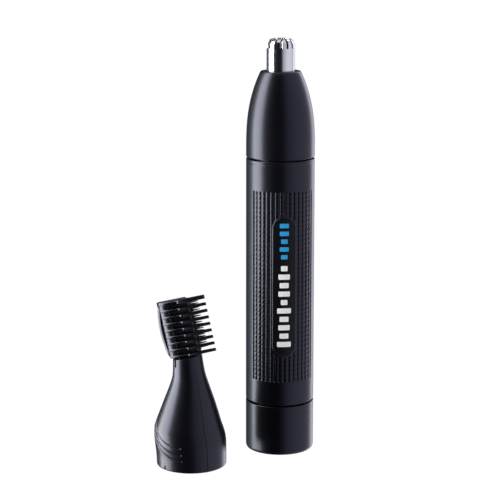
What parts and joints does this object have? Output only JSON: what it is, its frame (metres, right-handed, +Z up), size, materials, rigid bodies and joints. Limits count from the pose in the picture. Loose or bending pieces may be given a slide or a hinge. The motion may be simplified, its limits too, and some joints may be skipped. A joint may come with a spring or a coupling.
{
  "type": "nose hair trimmer",
  "caption": "Pen-shaped nose hair trimmer with a slotted steel tip, checkered grip and twist-off battery cap, with its comb-fronted eyebrow head standing beside it.",
  "frame": {"origin": "middle of the battery cap's underside, on the surface that the trimmer stands on", "axes": "+Z up along the trimmer towards its cutting tip; the badge faces -Y; the eyebrow head stands on the -X, -Y side"},
  "size_m": [0.055, 0.0386, 0.1385],
  "materials": {
    "black_plastic": "satin, fine spark texture",
    "badge_black": "matt print film",
    "dark_nylon": "matt moulded",
    "white_nylon": "matt moulded",
    "polished_steel": "polished",
    "plain_steel": "satin",
    "brass": "satin",
    "rubber": "matt",
    "battery_sleeve": "gloss shrink sleeve"
  },
  "bodies": {
    "base": {"contact_carrier": "dark_nylon", "cap_contact_plate": "brass", "cap_spring": "plain_steel"},
    "cap": {"battery_cap": "black_plastic", "cap_seal_ring": "rubber"},
    "handle": {"handle_shell": "black_plastic", "label_badge": "badge_black", "chassis": "dark_nylon", "motor_can": "plain_steel", "motor_end_bell": "white_nylon", "motor_terminal_left": "brass", "motor_terminal_right": "brass", "positive_contact": "brass", "negative_strip": "brass", "neck_collar": "dark_nylon", "neck_ring": "rubber", "neck_screw_left": "plain_steel", "neck_screw_right": "plain_steel"},
    "battery": {"aa_battery": "battery_sleeve", "battery_positive_nub": "plain_steel"},
    "drive": {"motor_shaft": "polished_steel", "drive_coupling": "white_nylon"},
    "nose_head": {"nose_cover": "black_plastic", "outer_cutter": "polished_steel", "cutter_bush": "brass", "cutter_retainer": "dark_nylon", "cutter_spring": "plain_steel"},
    "cutter": {"cutter_shaft": "polished_steel", "inner_cutter": "polished_steel", "cutter_cup": "white_nylon"},
    "eyebrow_head": {"eyebrow_shell_left": "black_plastic", "eyebrow_shell_right": "black_plastic", "drive_plate": "dark_nylon", "blade_carrier": "dark_nylon", "blade_cover": "dark_nylon", "fixed_blade": "polished_steel", "blade_screw_lower": "plain_steel", "blade_screw_upper": "plain_steel", "return_spring": "plain_steel"},
    "eyebrow_cam": {"slant_cam": "white_nylon"},
    "trimming_blade": {"moving_blade": "polished_steel", "push_rod": "white_nylon"},
    "comb": {"comb_guide": "black_plastic"}
  },
  "joints": [
    {"name": "cap_twist", "type": "hinge", "parent": "base", "child": "cap", "pos_m": [0, 0, 0], "axis": [0, 0, 1], "range_deg": [0, 60]},
    {"name": "handle_lift", "type": "slide", "parent": "base", "child": "handle", "axis": [0, 0, 1], "range_m": [0, 0.075]},
    {"name": "battery_lift", "type": "slide", "parent": "base", "child": "battery", "axis": [0, 0, 1], "range_m": [0, 0.02675]},
    {"name": "motor_spin", "type": "hinge", "parent": "handle", "child": "drive", "pos_m": [0, 0, 0.09], "axis": [0, 0, 1], "continuous": true},
    {"name": "nose_head_lift", "type": "slide", "parent": "handle", "child": "nose_head", "axis": [0, 0, 1], "range_m": [0, 0.03]},
    {"name": "cutter_spin", "type": "hinge", "parent": "nose_head", "child": "cutter", "pos_m": [0, 0, 0.12], "axis": [0, 0, 1], "continuous": true},
    {"name": "eyebrow_head_lift", "type": "slide", "parent": "base", "child": "eyebrow_head", "axis": [0, 0, 1], "range_m": [0, 0.03]},
    {"name": "eyebrow_cam_spin", "type": "hinge", "parent": "eyebrow_head", "child": "eyebrow_cam", "pos_m": [-0.0313, -0.0153, 0.01], "axis": [0, 0, 1], "continuous": true},
    {"name": "eyebrow_blade_slide", "type": "slide", "parent": "eyebrow_head", "child": "trimming_blade", "axis": [-0.2034, 0.0214, 0.9789], "range_m": [-0.0005, 0.0005], "stiffness_N_per_m": 200, "deforming": ["return_spring"]},
    {"name": "comb_pull", "type": "slide", "parent": "eyebrow_head", "child": "comb", "axis": [-0.2034, 0.0214, 0.9789], "range_m": [0, 0.024]}
  ],
  "couplings": [
    {"joint": "battery_lift", "follows": "handle_lift", "ratio": 0.35},
    {"joint": "cutter_spin", "follows": "motor_spin", "ratio": 1}
  ]
}
